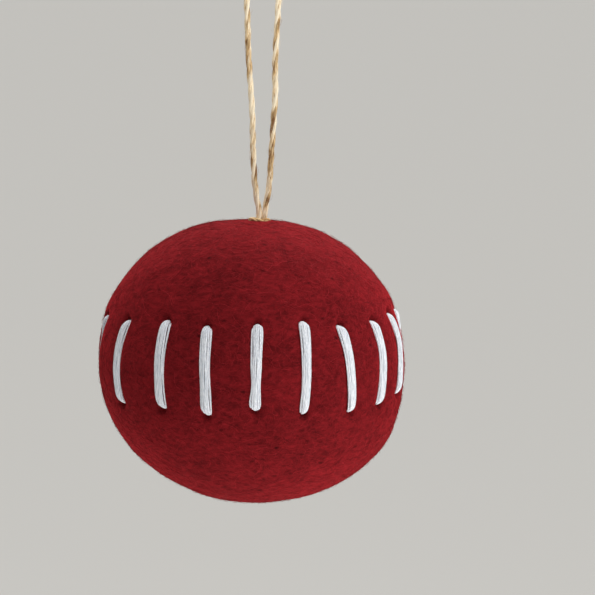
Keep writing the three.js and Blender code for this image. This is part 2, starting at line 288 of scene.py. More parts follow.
def mattedFibresTree():
    tree, given = newTree("mattedFibres", {
        "Density": float, "Length": float, "Bow": float, "Radius": float, "Segments": int, "Lift": float,
        "Free End": float, "Lay": float, "Spread": float, "Wander": float, "Wander Size": float,
        "Keep Surface": bool, "Seed": int, "Material": None})
    surface = given["Geometry"]
    scatter = addNode(tree, "GeometryNodeDistributePointsOnFaces", {
        "Mesh": surface, "Density": given["Density"], "Seed": given["Seed"]})
    toneSeed, riseSeed, turnSeed, lengthSeed, bowSeed = [
        addNode(tree, "ShaderNodeMath", {0: given["Seed"], 1: step}, operation="ADD") for step in range(5)]
    tone = addNode(tree, "FunctionNodeRandomValue", {2: 0.0, 3: 1.0, "Seed": toneSeed})
    toned = addNode(tree, "GeometryNodeStoreNamedAttribute", {
        "Geometry": scatter, "Name": "tone", "Value": tone}, domain="POINT")
    least, most = matting["rise"]
    rise = addNode(tree, "FunctionNodeRandomValue", {2: least, 3: most, "Seed": riseSeed})
    rooted = addNode(tree, "GeometryNodeStoreNamedAttribute", {
        "Geometry": toned, "Name": "rise", "Value": rise}, domain="POINT")
    # Which way a fibre lies: level, turned by its lay and by chance
    outward = scatter.outputs["Normal"]
    level = addNode(tree, "ShaderNodeVectorMath", {0: (0, 0, 1), 1: outward}, operation="CROSS_PRODUCT")
    flat = addNode(tree, "FunctionNodeAxesToRotation", {
        "Primary Axis": outward, "Secondary Axis": level}, primary_axis="Z", secondary_axis="X")
    turnChance = addNode(tree, "FunctionNodeRandomValue", {2: -1.0, 3: 1.0, "Seed": turnSeed})
    turn = addNode(tree, "ShaderNodeMath", {
        0: turnChance, 1: given["Spread"], 2: given["Lay"]}, operation="MULTIPLY_ADD")
    spin = addNode(tree, "FunctionNodeAxisAngleToRotation", {"Axis": (0, 0, 1), "Angle": turn})
    lie = addNode(tree, "FunctionNodeRotateRotation", {
        "Rotation": flat, "Rotate By": spin}, rotation_space="LOCAL")
    # One bowed line for all, stretched and bowed by chance
    line = addNode(tree, "GeometryNodeCurveQuadraticBezier", {
        "Resolution": given["Segments"], "Start": (-0.5, 0, 0), "Middle": (0, 1, 0), "End": (0.5, 0, 0)})
    least, most = matting["stretch"]
    lengthChance = addNode(tree, "FunctionNodeRandomValue", {2: least, 3: most, "Seed": lengthSeed})
    length = addNode(tree, "ShaderNodeMath", {0: lengthChance, 1: given["Length"]}, operation="MULTIPLY")
    bowChance = addNode(tree, "FunctionNodeRandomValue", {2: -1.0, 3: 1.0, "Seed": bowSeed})
    bow = addNode(tree, "ShaderNodeMath", {0: bowChance, 1: given["Bow"]}, operation="MULTIPLY")
    lines = addNode(tree, "GeometryNodeInstanceOnPoints", {
        "Points": rooted, "Instance": line, "Rotation": lie,
        "Scale": addNode(tree, "ShaderNodeCombineXYZ", {"X": length, "Y": bow, "Z": 1.0})})
    fibres = addNode(tree, "GeometryNodeRealizeInstances", {"Geometry": lines})
    wanderScale = addNode(tree, "ShaderNodeMath", {0: 1.0, 1: given["Wander Size"]}, operation="DIVIDE")
    wander = addNode(tree, "ShaderNodeTexNoise", {
        "Vector": addNode(tree, "GeometryNodeInputPosition"), "Scale": wanderScale, "Detail": 1.0})
    centred = addNode(tree, "ShaderNodeVectorMath", {
        0: wander.outputs["Color"], 1: (0.5, 0.5, 0.5)}, operation="SUBTRACT")
    strayOffset = addNode(tree, "ShaderNodeVectorMath", {
        0: centred, "Scale": given["Wander"]}, operation="SCALE")
    strayFibres = addNode(tree, "GeometryNodeSetPosition", {"Geometry": fibres, "Offset": strayOffset})
    # Laid on the surface, with a lift along the fibre
    nearest = addNode(tree, "GeometryNodeProximity", {"Geometry": surface}, target_element="FACES")
    lean = addNode(tree, "GeometryNodeSampleNearestSurface", {
        "Mesh": surface, "Value": addNode(tree, "GeometryNodeInputNormal")}, data_type="FLOAT_VECTOR")
    share = addNode(tree, "GeometryNodeSplineParameter").outputs["Factor"]
    fromMiddle = addNode(tree, "ShaderNodeMath", {0: share, 1: 2.0, 2: -1.0}, operation="MULTIPLY_ADD")
    endness = addNode(tree, "ShaderNodeMath", {0: fromMiddle, 1: matting["endPower"]}, operation="POWER")
    lying = addNode(tree, "ShaderNodeMath", {
        0: endness, 1: -matting["dive"], 2: 1.0}, operation="MULTIPLY_ADD")
    standing = addNode(tree, "ShaderNodeMath", {
        0: share, 1: 1 + matting["root"], 2: -matting["root"]}, operation="MULTIPLY_ADD")
    shape = addNode(tree, "ShaderNodeMix", {0: given["Free End"], 2: lying, 3: standing})
    riseHere = addNode(tree, "GeometryNodeInputNamedAttribute", {"Name": "rise"}, data_type="FLOAT")
    lift = addNode(tree, "ShaderNodeMath", {0: riseHere, 1: given["Lift"]}, operation="MULTIPLY")
    height = addNode(tree, "ShaderNodeMath", {0: shape, 1: lift}, operation="MULTIPLY")
    raised = addNode(tree, "ShaderNodeVectorMath", {0: lean, "Scale": height}, operation="SCALE")
    laid = addNode(tree, "GeometryNodeSetPosition", {
        "Geometry": strayFibres, "Position": nearest.outputs["Position"], "Offset": raised})
    thinning = addNode(tree, "ShaderNodeMath", {
        0: endness, 1: -matting["taper"], 2: 1.0}, operation="MULTIPLY_ADD")
    radius = addNode(tree, "ShaderNodeMath", {0: thinning, 1: given["Radius"]}, operation="MULTIPLY")
    kept = addNode(tree, "GeometryNodeSwitch", {
        "Switch": given["Keep Surface"], "True": surface}, input_type="GEOMETRY")
    return endTree(tree, given, laid, radius, matting["sides"], [kept])


fibresTree = mattedFibresTree()


# Fibres of one look on a mesh, which stays in the piece if it is kept
def growFibres(name, mesh, look, density, number, keepMesh, material):
    return growPiece(name, mesh, fibresTree, {
        "Density": density, "Length": look["length"] * mm, "Bow": look["bow"] * mm,
        "Radius": look["radius"] * mm, "Segments": look["segments"], "Lift": look["lift"] * mm,
        "Free End": float(look["freeEnd"]), "Lay": math.radians(look["lay"]),
        "Spread": math.radians(look["spread"]), "Wander": look["wander"] * mm,
        "Wander Size": look["wanderSize"] * mm, "Keep Surface": keepMesh, "Seed": look["seed"] + number,
        "Material": material})


# Stray hairs on a strand
def growHairs(name, strand, hairs, number, material):
    return growFibres(name, strand, hairs, hairs["perMm2"] / mm ** 2, number, True, material)


# Fine streaks along yarn and twine
def fibreStreaks(tree, place, look):
    stretch = look["streakWidth"] / look["streakLength"]
    fibreWay = addNode(tree, "ShaderNodeMapping", {"Vector": place, "Scale": (1, 1, stretch)})
    return addNode(tree, "ShaderNodeTexNoise", {
        "Vector": fibreWay, "Scale": 1 / (look["streakWidth"] * mm), "Detail": look["streakDetail"],
        "Roughness": 0.6})


jute = {
    "loopTones": ("#7d5530", "#d6b582", "#fff0d2"),  # brown, tan and cream stretches
    "bightShadeTones": ("#7d5530", "#bd9360", "#dcba88"),  # a darker copy for the strand in the felt, painted shade
    "patchLength": 11,  # stretches of one colour along the twine
    "streakWidth": 0.35,
    "streakLength": 7,
    "streakDetail": 3,
    "streakShare": 0.5,  # what the streaks add to the stretches
    "streakRelief": 0.1,
    "toneStops": (0.58, 0.69, 0.82),  # sums of both that make brown, tan and cream
}


# Spun jute: dry pale bast fibre, matt, with tan and brown stretches and fine streaks along the fibre
def spunJute(name, tones):
    material, tree, shader = newMaterial(name, {
        "Roughness": 0.85, "Specular IOR Level": 0.25, "Sheen Weight": 0.15, "Sheen Roughness": 0.5})
    place = addNode(tree, "ShaderNodeTexCoord").outputs["Object"]
    ply = addNode(tree, "ShaderNodeAttribute", {}, attribute_name="ply").outputs["Fac"]
    streaks = fibreStreaks(tree, place, jute)
    patches = addNode(tree, "ShaderNodeTexNoise", {
        "Vector": place, "W": ply, "Scale": 1 / (jute["patchLength"] * mm),
        "Detail": 2.0}, noise_dimensions="4D")
    mixture = addNode(tree, "ShaderNodeMath", {
        0: streaks.outputs[0], 1: jute["streakShare"], 2: patches.outputs[0]}, operation="MULTIPLY_ADD")
    ramp = addNode(tree, "ShaderNodeValToRGB", {"Fac": mixture}, zip(jute["toneStops"], tones))
    bump = addNode(tree, "ShaderNodeBump", {
        "Height": streaks.outputs[0], "Strength": 0.6, "Distance": jute["streakRelief"] * mm})
    setInputs(tree, shader, {"Base Color": ramp, "Normal": bump})
    return material


juteMaterial = spunJute("spunJute", jute["loopTones"])

# Twine, with heights above the felt right under the hook
twine = {
    "width": 2,
    "reach": 100,  # from the felt to the inside of the loop's top
    "bend": 6.2,  # radius of the twine's middle over the hook
    "bendStep": 45,
    "plies": 3,
    "plyOffset": 0.46,
    "plyRadius": 0.56,
    "pitch": 17,
    "unevenness": 0.08,
    "sides": 8,
    "step": 0.8,
    # Sideways place and height of the legs, upwards from the foot in the felt
    "leftLeg": [
        (-0.8, -2.6), (-0.85, 0), (-0.9, 2.7), (-1.25, 4.6), (-1.6, 6.4), (-1.8, 7.9), (-2.4, 12.9),
        (-2.75, 19.5), (-2.95, 26), (-3.05, 32.7), (-3.35, 39.3), (-4.25, 52.5), (-4.9, 72.3), (-5.6, 83)],
    "rightLeg": [
        (0.8, -2.6), (0.85, 0), (0.9, 2.7), (1.2, 4.6), (1.55, 6.4), (1.8, 7.9), (2.5, 12.9),
        (2.9, 19.5), (3.4, 26), (3.8, 32.7), (4.3, 39.3), (4.4, 52.5), (5.5, 72.3), (5.9, 83)],
    "twistTop": 36,  # the legs wind round each other below this height
    "twistBottom": 6.4,
    "neckTop": 4.6,
    "swingTop": 4.4,  # they bend between this height and the next
    "swingBottom": 0.9,
    "hairs": {
        "perMm2": 0.16, "length": 4, "bow": 1.2, "radius": 0.03, "segments": 5, "lift": 1.1, "freeEnd": 0.7,
        "lay": 90, "spread": 40, "wander": 1, "wanderSize": 2, "seed": 15},
}
feltTop = -twine["reach"]


def twineRoute():
    middle = twine["reach"] + twine["width"] / 2 - twine["bend"]
    route = list(twine["leftLeg"])
    for turn in range(180, -1, -twine["bendStep"]):
        angle = math.radians(turn)
        route.append((twine["bend"] * math.cos(angle), middle + twine["bend"] * math.sin(angle)))
    route.extend(reversed(twine["rightLeg"]))
    return smoothRoute([(x, 0, feltTop + height) for x, height in route], twine["step"])


# What is left of a closed mesh above (1) or below (-1) each of some levels, capped where it is cut
def cutMesh(name, source, cuts):
    form = bmesh.new()
    form.from_mesh(source)
    for level, side in cuts:
        everything = [*form.verts, *form.edges, *form.faces]
        cut = bmesh.ops.bisect_plane(
            form, geom=everything, plane_co=(0, 0, level * mm), plane_no=(0, 0, side), clear_inner=True)
        edges = [part for part in cut["geom_cut"] if isinstance(part, bmesh.types.BMEdge)]
        bmesh.ops.holes_fill(form, edges=edges)
        for edge in edges:
            edge.smooth = False
    mesh = bpy.data.meshes.new(name)
    form.to_mesh(mesh)
    form.free()
    mesh.materials.append(juteMaterial)
    return mesh


def makeTwine():
    route = twineRoute()
    whole = layPlies("twineWhole", [route], twine, juteMaterial)
    neckTop = feltTop + twine["neckTop"]
    pieceCuts = {
        "twineLoop": [(neckTop, 1)],
        "twineNeck": [(pinchHeight, 1), (neckTop, -1)],
        "twineFoot": [(pinchHeight, -1)],
    }
    pieces = {}
    for name, cuts in pieceCuts.items():
        strand = cutMesh(name, whole.data, cuts)
        pieces[name] = growHairs(name, strand, twine["hairs"], len(pieces), juteMaterial)
    bpy.data.objects.remove(whole)

    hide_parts("hanging_loop")
    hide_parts("loop_neck")
    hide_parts("loop_knot")
    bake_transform(pieces["twineLoop"])
    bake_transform(pieces["twineNeck"])
    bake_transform(pieces["twineFoot"])


makeTwine()


# Felt ball, with heights above its middle
ball = {
    "width": 100,
    "height": 92.8,
    "fullness": 2.1,  # exponent of the outline, where 2 is an ellipse
    "aside": -3.6,  # middle of the ball, seen from the twine
    "slump": 2.2,  # how far the bottom has slumped to the right
    "slumpStart": 4.6,  # below this height
    "subdivisions": 7,
    "fineReach": 3.2,  # a finer mesh this near to a stitch's middle
    "fineHalfWidth": 1,  # which counts as a band of this width on each side
    "fineTwineReach": 6.4,  # and this near to the twine
    "nap": 0.4,  # how far the fibres stand proud of the ball's firm surface
    "napBottom": -20,  # they are worn flat below this height
    "napTop": 43,  # and above this one
    # Where the ball is fuller or flatter than its outline: angle up from the right, height, angle of reach
    "swells": (
        (42, -0.4, 14), (75, 0.3, 16), (93, -0.35, 10), (122, 0.5, 45), (142, -0.4, 14), (172, -0.4, 15),
        (238, -0.45, 20), (324, 0.35, 12), (345, -0.4, 14)),
    "lumps": ((24, 0.5), (7, 0.16), (2.2, 0.06)),  # size and height of the unevenness
    "grooveDepth": 0.8,  # where a stitch is drawn into the felt
    "grooveHalfWidth": 2.5,
    "grooveEnd": 1,  # how soon the groove fades past a stitch
    "sunkDepth": 0.4,  # how much deeper for each millimetre that a stitch is sunk
    "pitDepth": 1.5,  # where its ends go in
    "pitRadius": 1.2,
    "pitBeyond": 0.5,  # middle of the pit past the stitch
    "dimpleDepth": 0.45,  # round the twine
    "dimpleRadius": 3,
}
halfWidth = ball["width"] / 2
halfHeight = ball["height"] / 2
outline = ball["fullness"]


def ballRadius(height):
    share = np.minimum(1, np.abs(height) / halfHeight)
    return halfWidth * (1 - share ** outline) ** (1 / outline)


ballMiddle = feltTop - halfHeight * (1 - abs(ball["aside"] / halfWidth) ** outline) ** (1 / outline)


# A point off the felt's surface at a turn from the front, in radians, and a height
def onBall(turn, height, lift=0):
    radius = ballRadius(height)
    outward = radius ** (outline - 1) / halfWidth ** outline
    upward = np.sign(height) * np.abs(height) ** (outline - 1) / halfHeight ** outline
    normal = np.stack([outward * np.sin(turn), -outward * np.cos(turn), upward + 0 * turn], -1)
    normal /= np.linalg.norm(normal, axis=-1, keepdims=True)
    slump = ball["slump"] * (1 - smoothStep(-halfHeight, ball["slumpStart"], height))
    sideways = ball["aside"] + slump + radius * np.sin(turn)
    place = np.stack([sideways, -radius * np.cos(turn), ballMiddle + height + 0 * turn], -1)
    return place + np.asarray(lift)[..., None] * normal


# Stitches, as they lie: turns from the front, heights above the ball's middle
stitchRow = {
    "top": 16.7,
    "bottom": -10,
    "backCount": 8,
    "handSway": 0.8,  # how unevenly the back stitches end
    "topSway": 2,  # radians of sway from one stitch to the next, which leave no pattern
    "bottomSway": 3,
    "backWidths": (1, 0.95),  # at the top and at the bottom
    "backWaists": (0.05, 0.1, 0),  # in turn
    # Front stitches from the left: turn of the top and of the bottom, bow of the middle, how far both ends
    # lie above the usual heights, slant of the top and of the bottom (up to the right), share of the usual
    # width at both ends, waist, sink
    "front": [
        (-77.5, -88, 0, -0.8, 0, 0, 0, 1, 1, 0, 0.9),
        (-55, -57.3, -1.9, -0.6, -0.1, 0.2, -1, 1.2, 1, 0, 0),
        (-33.5, -34.3, -0.4, 0.8, 0.2, -0.5, -1, 1.05, 1, 0, 0),
        (-16, -16.1, 0.2, -0.3, -1, -0.4, -0.8, 0.95, 0.95, 0, 0),
        (3.2, 1.8, 0.2, 0.4, 0.9, 0.4, -0.5, 0.98, 0.98, 0.2, 0),
        (21.4, 19.9, 0.5, 1, -0.5, -0.5, 0.2, 0.95, 0.78, 0.05, 0),
        (37.3, 40.3, 0.8, -0.8, -1.3, -0.9, 0.7, 1, 0.82, 0, 0),
        (56, 56, 2.2, -0.5, -0.2, -0.9, 0.2, 1.05, 1.15, 0, 0),
        (72, 71, 2.6, 0.5, 1.8, -0.7, 0.4, 1.2, 1.1, 0, -0.4),
        (86.5, 88.5, 0, 0.4, 0, 0, 0, 1, 1, 0, 0.8),
    ],
}


def layStitches():
    names = (
        "topTurn", "bottomTurn", "bow", "top", "bottom", "topSlant", "bottomSlant", "topWidth",
        "bottomWidth", "waist", "sink")
    stitches = [dict(zip(names, row)) for row in stitchRow["front"]]
    first = stitches[0]["topTurn"] + 360
    last = stitches[-1]["topTurn"]
    for i in range(1, stitchRow["backCount"] + 1):
        turn = last + (first - last) * i / (stitchRow["backCount"] + 1)
        rise = stitchRow["handSway"] * math.sin(stitchRow["topSway"] * i)
        dip = stitchRow["handSway"] * math.cos(stitchRow["bottomSway"] * i)
        waist = stitchRow["backWaists"][(i - 1) % len(stitchRow["backWaists"])]
        row = (turn, turn, 0, rise, dip, rise, dip, *stitchRow["backWidths"], waist, 0)
        stitches.append(dict(zip(names, row)))
    for stitch in stitches:
        stitch["top"] += stitchRow["top"]
        stitch["bottom"] += stitchRow["bottom"]
    return stitches


stitches = layStitches()


# The turn of a stitch's middle line at a share of its way down, in radians
def stitchTurn(stitch, share):
    straight = stitch["topTurn"] + (stitch["bottomTurn"] - stitch["topTurn"]) * share
    return np.radians(straight + 4 * stitch["bow"] * share * (1 - share))


# Sideways from a stitch, and beyond its ends, for points on the ball
def besideStitch(stitch, turn, height):
    share = np.clip((stitch["top"] - height) / (stitch["top"] - stitch["bottom"]), 0, 1)
    apart = turn - stitchTurn(stitch, share)
    side = (np.mod(apart + math.pi, math.tau) - math.pi) * ballRadius(height)
    beyond = np.maximum(0, np.maximum(height - stitch["top"], stitch["bottom"] - height))
    return side, beyond


# Turn and height on the ball of points on a unit sphere
def ballAngles(points):
    height = np.sign(points[:, 2]) * np.abs(points[:, 2]) ** (2 / outline) * halfHeight
    return np.arctan2(points[:, 0], -points[:, 1]), np.clip(height, -halfHeight, halfHeight)


def feltLift(turn, height):
    places = onBall(turn, height)
    normals = onBall(turn, height, 1) - places
    lift = ball["nap"] * smoothStep(-halfHeight, ball["napBottom"], height)
    lift *= smoothStep(halfHeight, ball["napTop"], height)
    for angle, rise, reach in np.array(ball["swells"]):
        way = math.cos(math.radians(angle)), 0, math.sin(math.radians(angle))
        lift += rise * smoothStep(math.cos(math.radians(reach)), 1, normals @ way)
    for size, rise in ball["lumps"]:
        lift += rise * np.array([noise.noise(Vector(place) / size) for place in places])
    for stitch in stitches:
        side, beyond = besideStitch(stitch, turn, height)
        depth = ball["grooveDepth"] + ball["sunkDepth"] * stitch["sink"]
        lift -= depth * np.exp(-(side / ball["grooveHalfWidth"]) ** 2 - (beyond / ball["grooveEnd"]) ** 2)
        for end, way in ((stitch["top"], 1), (stitch["bottom"], -1)):
            past = height - end - way * ball["pitBeyond"]
            lift -= ball["pitDepth"] * np.exp(-(side ** 2 + past ** 2) / ball["pitRadius"] ** 2)
    fromTwine = np.hypot(places[:, 0], places[:, 1])
    dimple = np.exp(-(fromTwine / ball["dimpleRadius"]) ** 2) * (height > 0)
    return lift - ball["dimpleDepth"] * dimple


def feltMesh():
    form = bmesh.new()
    bmesh.ops.create_icosphere(form, subdivisions=ball["subdivisions"], radius=1)
    turn, height = ballAngles(np.array([vertex.co for vertex in form.verts]))
    place = onBall(turn, height)
    near = (np.hypot(place[:, 0], place[:, 1]) < ball["fineTwineReach"]) & (height > 0)
    for stitch in stitches:
        side, beyond = besideStitch(stitch, turn, height)
        aside = np.maximum(0, np.abs(side) - ball["fineHalfWidth"])
        near |= np.hypot(aside, beyond) < ball["fineReach"]
    form.verts.ensure_lookup_table()
    fine = [edge for edge in form.edges if near[edge.verts[0].index] and near[edge.verts[1].index]]
    bmesh.ops.subdivide_edges(form, edges=fine, cuts=1, use_grid_fill=True)
    bmesh.ops.triangulate(form, faces=[face for face in form.faces if len(face.verts) > 3])
    points = np.array([vertex.co.normalized() for vertex in form.verts])
    turn, height = ballAngles(points)
    surface = onBall(turn, height, feltLift(turn, height)) * mm
    for vertex, spot in zip(form.verts, surface):
        vertex.co = spot
    for face in form.faces:
        face.smooth = True
    mesh = bpy.data.meshes.new("feltBall")
    form.to_mesh(mesh)
    form.free()
    return mesh


felt = {
    # painted shade: the near-black red of the shade in the needle holes
    "pitShadeRed": "#2c0406",
    "deepRed": "#540d11",
    "midRed": "#77161b",
    "paleRed": "#8f1f25",
    "brightRed": "#a4262e",
    "sheenRed": "#c0242c",
    "winding": 1.7,  # the wool was wound level, so its marks are this much longer along than across
    "mottleSize": 12,
    "mottleShare": 0.3,  # the rest of the shading is blotches
    "blotchSize": 2.4,
    "shadeStops": (0.38, 0.62),  # shading that makes the deep and the middle red
    "fibreStops": (0, 0.6, 1),  # tones of single fibres, deep, middle and bright red
    "fibreCurl": 5,  # how far apart the drawn fibres curl
    "fibreWidth": 0.05,  # as a share of the curl
    "fibreLayers": 2,
    "layerShift": (300, 100, 0),  # far enough that the layers are unlike
    "fibreShare": 0.3,  # how near to the pale red the drawn fibres are
    "fibreRelief": 0.5,  # their height against the grain's
    "grain": 0.55,
    "relief": 0.2,
    "needleSpacing": 5,  # between the holes that the felting needle left, whose shade is painted as dark spots
    "needleReach": 1.1,  # from a pit's middle to its soft edge
    "needleCore": 1 / 3,  # share of that within which it is darkest
    "needleShade": 0.95,  # how near to the pit shade red the painted shade is there
}


# Painted shade: dark spots where the felting needle went in, standing in for the shade in its holes, which
# are not in the surface
def paintedHoleShade(tree, colour):
    place = addNode(tree, "ShaderNodeTexCoord").outputs["Object"]
    levelWay = addNode(tree, "ShaderNodeMapping", {"Vector": place, "Scale": (1, 1, felt["winding"])})
    needles = addNode(tree, "ShaderNodeTexVoronoi", {
        "Vector": levelWay, "Scale": 1 / (felt["needleSpacing"] * mm)})
    edge = felt["needleReach"] / felt["needleSpacing"]
    holeShade = addNode(tree, "ShaderNodeMapRange", {
        "Value": needles.outputs["Distance"], "From Min": edge * felt["needleCore"], "From Max": edge,
        "To Min": felt["needleShade"], "To Max": 0.0})
    uneven = addNode(tree, "ShaderNodeMath", {0: holeShade, 1: needles.outputs["Color"]}, operation="MULTIPLY")
    return addNode(tree, "ShaderNodeMix", {
        0: uneven, 6: colour, 7: hexColour(felt["pitShadeRed"])}, data_type="RGBA").outputs[2]


# Needle-felted wool: matt and mottled, a mat of fine crossing fibres with a soft glow at the rim
def needleFelt():
    material, tree, shader = newMaterial("needleFeltedWool", {
        "Roughness": 0.95, "Specular IOR Level": 0.06, "Sheen Weight": 0.8, "Sheen Roughness": 0.45,
        "Sheen Tint": hexColour(felt["sheenRed"])})
    place = addNode(tree, "ShaderNodeTexCoord").outputs["Object"]
    mottle = addNode(tree, "ShaderNodeTexNoise", {
        "Vector": place, "Scale": 1 / (felt["mottleSize"] * mm), "Detail": 3.0, "Roughness": 0.6})
    levelWay = addNode(tree, "ShaderNodeMapping", {"Vector": place, "Scale": (1, 1, felt["winding"])})
    blotches = addNode(tree, "ShaderNodeTexNoise", {
        "Vector": levelWay, "Scale": 1 / (felt["blotchSize"] * mm), "Detail": 3.0, "Roughness": 0.65})
    shade = addNode(tree, "ShaderNodeMix", {
        0: felt["mottleShare"], 2: blotches.outputs[0], 3: mottle.outputs[0]})
    reds = felt["deepRed"], felt["midRed"]
    ramp = addNode(tree, "ShaderNodeValToRGB", {"Fac": shade}, zip(felt["shadeStops"], reds))
    # Fibres drawn where a slow noise crosses its middle value, in layers
    drawn = None
    for layer in range(felt["fibreLayers"]):
        shift = addNode(tree, "ShaderNodeMapping", {
            "Vector": levelWay, "Location": Vector(felt["layerShift"]) * layer * mm})
        curl = addNode(tree, "ShaderNodeTexNoise", {
            "Vector": shift, "Scale": 1 / (felt["fibreCurl"] * mm), "Detail": 1.0, "Distortion": 0.6})
        crossing = addNode(tree, "ShaderNodeMath", {0: curl.outputs[0], 1: 0.5}, operation="SUBTRACT")
        away = addNode(tree, "ShaderNodeMath", {0: crossing}, operation="ABSOLUTE")
        line = addNode(tree, "ShaderNodeMapRange", {
            "Value": away, "From Min": 0.0, "From Max": felt["fibreWidth"], "To Min": 1.0, "To Max": 0.0})
        drawn = line if drawn is None else addNode(
            tree, "ShaderNodeMath", {0: drawn, 1: line}, operation="MAXIMUM")
    faint = addNode(tree, "ShaderNodeMath", {0: drawn, 1: felt["fibreShare"]}, operation="MULTIPLY")
    fibred = addNode(tree, "ShaderNodeMix", {
        0: faint, 6: ramp.outputs["Color"], 7: hexColour(felt["paleRed"])}, data_type="RGBA")
    # the shade of the needle holes is painted into the colour
    colour = paintedHoleShade(tree, fibred.outputs[2])
    grain = addNode(tree, "ShaderNodeTexNoise", {
        "Vector": place, "Scale": 1 / (felt["grain"] * mm), "Detail": 3.0, "Roughness": 0.7})
    relief = addNode(tree, "ShaderNodeMath", {
        0: drawn, 1: felt["fibreRelief"], 2: grain.outputs[0]}, operation="MULTIPLY_ADD")
    bump = addNode(tree, "ShaderNodeBump", {
        "Height": relief, "Strength": 0.5, "Distance": felt["relief"] * mm})
    setInputs(tree, shader, {"Base Color": colour, "Normal": bump})
    return material


# Single wool fibres: the same dyed wool, drawn several times as thick as life so that they show
def woolFibre():
    material, tree, shader = newMaterial("dyedWoolFibre", {
        "Roughness": 0.8, "Specular IOR Level": 0.1, "Sheen Weight": 0.5, "Sheen Roughness": 0.45,
        "Sheen Tint": hexColour(felt["sheenRed"])})
    tone = addNode(tree, "ShaderNodeAttribute", {}, attribute_name="tone").outputs["Fac"]
    reds = felt["deepRed"], felt["midRed"], felt["brightRed"]
    ramp = addNode(tree, "ShaderNodeValToRGB", {"Fac": tone}, zip(felt["fibreStops"], reds))
    # the fibres carry the same painted shade of the needle holes
    setInputs(tree, shader, {"Base Color": paintedHoleShade(tree, ramp)})
    return material


feltFibres = {
    "feltFibresLong": {
        "count": 3200, "length": 9, "bow": 3, "radius": 0.05, "segments": 9, "lift": 0.02, "freeEnd": 0,
        "lay": 0, "spread": 65, "wander": 5, "wanderSize": 7, "seed": 3},
    "feltFibresShort": {
        "count": 7400, "length": 4.6, "bow": 1.5, "radius": 0.047, "segments": 4, "lift": 0.02, "freeEnd": 0,
        "lay": 0, "spread": 180, "wander": 4, "wanderSize": 7, "seed": 14},
    "feltFuzz": {
        "count": 9000, "length": 2.4, "bow": 1, "radius": 0.025, "segments": 3, "lift": 0.8, "freeEnd": 0.7,
        "lay": 0, "spread": 180, "wander": 1.5, "wanderSize": 7, "seed": 27},
}


def makeFelt():
    body = addObject("feltBall", feltMesh())
    body.data.materials.append(needleFelt())
    print("feltBall", len(body.data.polygons), "faces")
    area = sum(face.area for face in body.data.polygons)
    fibre = woolFibre()
    for name, look in feltFibres.items():
        piece = growFibres(name, body.data.copy(), look, look["count"] / area, 0, False, fibre)
        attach(piece, "ball")
    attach(body, "ball")
    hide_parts("felt_cover")


makeFelt()


yarn = {
    "strands": 6,
    "strandWidth": 0.74,
    "width": 3.8,  # the strands side by side
    "seat": 0.15,  # middle of the outer strands above the ball's firm surface
    "crown": 0.45,  # how much higher the middle strands lie
    "endReach": 0.75,  # how far the middle strands reach past a stitch's ends
    "endRound": 0.6,  # how much sooner the outer strands go in
    "pitDepth": 1.6,
    "pitSpread": 0.5,  # how far the strands are spread there
    "runDepth": 3.2,  # hidden runs below the felt's surface
    "runEnd": 0.9,  # share of the way to the next stitch
    "runSteps": 5,
    "bundleRadius": 0.42,  # strands drawn together inside the felt
    "shoulder": 0.5,  # from a stitch's end to the bend of the yarn
    "shoulderDepth": 0.3,
    "shoulderSpread": 0.85,
    "flat": 1.7,  # from its end to where it lies flat
    "flatShares": (0.3, 0.5, 0.7),  # of the way down, where its course is set
    "waistPlace": 0.68,  # share of the way down
    "waistLength": 0.13,
    "sinkShares": (0.1, 0.3),  # of the way down, where a sunk stitch goes under
    "sway": 0.08,  # how far a strand strays sideways
    "swayTurns": (1.3, 0.37, 0.11),  # turns of that down a stitch, to the next strand, to the next stitch
    "step": 0.6,
    "plies": 2,
    "plyOffset": 0.1,
    "plyRadius": 0.27,
    "pitch": 34,
    "unevenness": 0.05,
    "sides": 6,
    "white": "#f0f2f6",
    "grey": "#b9c1cb",
    "toneStops": (0.3, 0.6),  # streaks that make grey and white
    "streakWidth": 0.18,
    "streakLength": 3,
    "streakDetail": 2,
    "streakRelief": 0.06,
    "hairs": {
        "perMm2": 0.06, "length": 1.6, "bow": 0.48, "radius": 0.025, "segments": 5, "lift": 0.35,
        "freeEnd": 0.7, "lay": 90, "spread": 40, "wander": 1, "wanderSize": 2, "seed": 0},
}


# Cotton yarn: soft white strands that lie loosely side by side, matt, with a fine streak along the fibre
def cottonYarn():
    material, tree, shader = newMaterial("cottonYarn", {
        "Roughness": 0.8, "Specular IOR Level": 0.25, "Sheen Weight": 0.2, "Sheen Roughness": 0.4})
    streaks = fibreStreaks(tree, addNode(tree, "ShaderNodeTexCoord").outputs["Object"], yarn)
    tones = zip(yarn["toneStops"], (yarn["grey"], yarn["white"]))
    ramp = addNode(tree, "ShaderNodeValToRGB", {"Fac": streaks}, tones)
    bump = addNode(tree, "ShaderNodeBump", {
        "Height": streaks.outputs[0], "Strength": 0.5, "Distance": yarn["streakRelief"] * mm})
    setInputs(tree, shader, {"Base Color": ramp, "Normal": bump})
    return material


